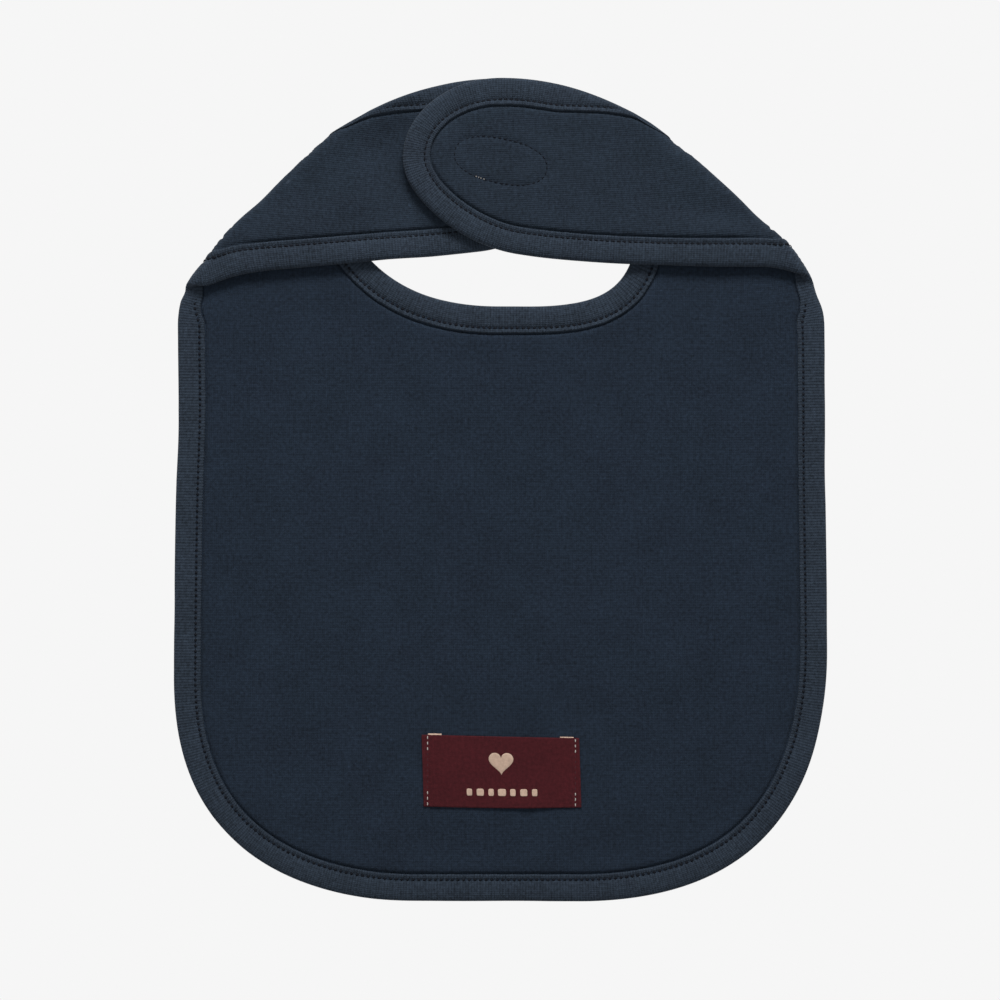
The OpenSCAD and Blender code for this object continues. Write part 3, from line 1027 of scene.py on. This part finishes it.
figures = [raised_shape(heart()[::-1])]
for i, width in zip(range(-3, 4), (2.4, 3.2, 2.4, 3.6, 2.4, 3.2, 2.4)):
    figures.append(raised_shape(bar(i * 4.0, -7.4, width * 0.85, 2.6)))
motif_points, motif_faces = figures[0]
motif_faces = [f[::-1] for f in motif_faces]
for p, f in figures[1:]:
    motif_faces = motif_faces + [[i + len(motif_points) for i in g] for g in f]
    motif_points = np.vstack([motif_points, p])
pieces["motif"] = mesh_of("label_motif_weave", warped(on_label(motif_points)), motif_faces,
                          motif_points[:, :2], FIGURE)


def label_seam(side, chosen, name, material):
    """The chosen stitches, out of 13 from the lower edge up, of one end seam."""
    v = np.linspace(-12, 12, 13)[chosen]
    at = np.stack([side * LABEL_SEAM + 0.03 * v, v], 1)
    way = np.tile([0.03, 1.0], (len(v), 1))
    points, faces = thread_bits(at, way / np.linalg.norm(way[0]), 0.0, 1.5, 0.4)
    points[:, 2] += label_height(points[:, 0], points[:, 1]) + 0.03
    return mesh_of(name, warped(on_label(points)), faces, points[:, :2], material)


for side, word in ((-1, "left"), (1, "right")):
    pieces["label_sew", side] = label_seam(
        side, [3, 4, 5, 6, 7, 8, 9], f"label_threads_{word}", LABEL_THREAD)
    pieces["label_fleck", side] = label_seam(
        side, [0, 1, 2, 10, 11, 12], f"label_thread_ends_{word}", FLECK)

spots = RING[1][[150, 153, 156, 160]]
pieces["flecks"] = folded("hook_patch_thread_flecks", thread_bits(
    spots, np.tile([1.0, 0.2], (len(spots), 1)) / 1.02, -1.32, 0.5, 0.24, up=-1.0), 1, FLECK)


# ---------------------------------------------------------------- bodies

def bend(obj):
    """Bakes obj's placement into its mesh."""
    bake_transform(obj)


def seated(key, slot, *nodes):
    """A piece, standing for the CAD nodes that it replaces, which it hides. slot is not used."""
    obj = pieces[key]
    if nodes:
        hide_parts(*nodes)
    return obj


for key, slot, nodes in (
    (("front", 0), "navy_jersey", ["front_panel"]),
    (("middle", 0), "wadding", ["absorbent_layer"]),
    (("back", 0), "navy_jersey", ["back_panel"]),
    ("edge", "ribbed_tape", ["edge_binding"]),
    ("neck", "ribbed_tape", ["neck_binding"]),
    (("sew", "edge"), "navy_thread", ["edge_topstitch"]),
    (("sew", "neck"), "navy_thread", ["neck_topstitch"]),
    ("label", "label_ground", ["label"]),
    ("motif", "label_figure", ["label_motif"]),
    (("label_sew", -1), "label_thread", ["label_stitching"]),
    (("label_sew", 1), "label_thread", []),
    (("label_fleck", -1), "label_figure", []),
    (("label_fleck", 1), "label_figure", []),
):
    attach(seated(key, slot, *nodes), "bib")
for obj in ends:
    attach(obj, "bib")
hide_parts("label_ends")

for side in (1, -1):
    strap = NAME[side]
    bend(seated(("front", side), "navy_jersey", f"{strap}_front"))
    bend(seated(("middle", side), "wadding", f"{strap}_middle"))
    fold = strap.replace("strap", "fold")
    bend(seated(("back", side), "navy_jersey", f"{strap}_back", fold))
    bend(seated(("tape", "front", side), "ribbed_tape", f"{strap}_binding"))
    bend(seated(("tape", "back", side), "ribbed_tape"))
    bend(seated(("sew", "front", side), "navy_thread", f"{strap}_topstitch"))
    bend(seated(("sew", "back", side), "navy_thread"))
for key, slot, nodes, body in (
    ("hook", "hook_tape", ["hook_patch"], "right_strap"),
    ("hooks", "hook_tape", [], "right_strap"),
    ("hook_sew_top", "navy_thread", ["hook_patch_stitching"], "right_strap"),
    ("hook_sew_low", "navy_thread", [], "right_strap"),
    ("flecks", "label_figure", [], "right_strap"),
    ("loop", "loop_tape", ["loop_patch"], "left_strap"),
    ("loops", "loop_tape", [], "left_strap"),
    ("loop_sew_top", "navy_thread", ["loop_patch_stitching"], "left_strap"),
    ("loop_sew_low", "navy_thread", [], "left_strap"),
):
    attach(seated(key, slot, *nodes), body)


# ---------------------------------------------------------------- ground, light, camera

def glow_material(name, level):
    """An even pale surface that takes no shadow, as in a cut-out product picture."""
    mat, tree, bsdf = tree_of(name)
    bsdf.inputs["Base Color"].default_value = (0, 0, 0, 1)
    bsdf.inputs["Roughness"].default_value = 1.0
    bsdf.inputs["Specular IOR Level"].default_value = 0.0
    bsdf.inputs["Emission Color"].default_value = (level, level, level, 1)
    bsdf.inputs["Emission Strength"].default_value = 1.0
    return mat


PALE = linear((246, 246, 246))[0]  # brightness of the photograph's even background

ground_mesh = bpy.data.meshes.new("ground")
ground_mesh.from_pydata(
    [(x, y, -0.0004) for x, y in ((-30, -30), (30, -30), (30, 30), (-30, 30))], [], [(0, 1, 2, 3)])
ground = bpy.data.objects.new("ground", ground_mesh)
ground_mesh.materials.append(glow_material("ground", PALE))
bpy.context.collection.objects.link(ground)

scene = bpy.context.scene
world = bpy.data.worlds.new("soft_room")
scene.world = world
world.use_nodes = True
back = world.node_tree.nodes["Background"]
path = world.node_tree.nodes.new("ShaderNodeLightPath")
mixed = world.node_tree.nodes.new("ShaderNodeMapRange")
mixed.inputs["To Min"].default_value = 0.34
mixed.inputs["To Max"].default_value = PALE
world.node_tree.links.new(path.outputs["Is Camera Ray"], mixed.inputs["Value"])
back.inputs["Color"].default_value = (1, 1, 1, 1)
world.node_tree.links.new(mixed.outputs[0], back.inputs["Strength"])


def soft_light(name, at, towards, size, power):
    data = bpy.data.lights.new(name, "AREA")
    data.shape = "RECTANGLE"
    data.size, data.size_y = size
    data.energy = power
    obj = bpy.data.objects.new(name, data)
    obj.location = at
    obj.rotation_euler = (Vector(towards) - Vector(at)).to_track_quat("-Z", "Y").to_euler()
    bpy.context.collection.objects.link(obj)
    return obj


soft_light("key", (0.12, 1.3, 0.85), (0, 0.02, 0), (0.8, 0.5), 29)
soft_light("fill", (-0.7, -0.5, 1.2), (0, 0, 0), (0.9, 0.9), 4)

camera_data = bpy.data.cameras.new("camera")
camera_data.lens = 100
camera_data.sensor_width = 36
camera_data.clip_end = 50
camera = bpy.data.objects.new("camera", camera_data)
camera.location = (0.0, 0.0, 1.027)
camera.rotation_euler = (0, 0, 0)
bpy.context.collection.objects.link(camera)
scene.camera = camera
camera_data.shift_y = -0.0105
scene.view_settings.view_transform = "Standard"
